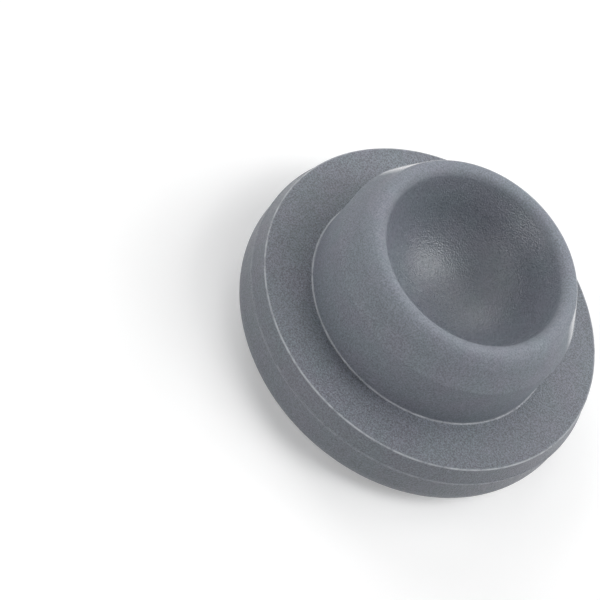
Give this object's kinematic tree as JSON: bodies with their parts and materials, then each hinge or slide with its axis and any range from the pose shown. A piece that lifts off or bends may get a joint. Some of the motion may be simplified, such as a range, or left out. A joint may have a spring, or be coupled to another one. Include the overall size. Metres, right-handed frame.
{
  "type": "rubber stopper",
  "caption": "Grey rubber stopper for a crimp-neck vial: a round flange with a hollow, tapered plug and raised marks on its top face.",
  "frame": {"origin": "centre of the plane that the raised marks stand on", "axes": "+Z along the stopper's axis, from the flange's marked face towards the plug's open end; +X along one of the four bars"},
  "size_m": [0.019, 0.019, 0.0089],
  "materials": {
    "butyl_rubber": "matte grey moulded rubber with a fine grain"
  },
  "bodies": {
    "root": {"stopper": "butyl_rubber"}
  },
  "joints": []
}
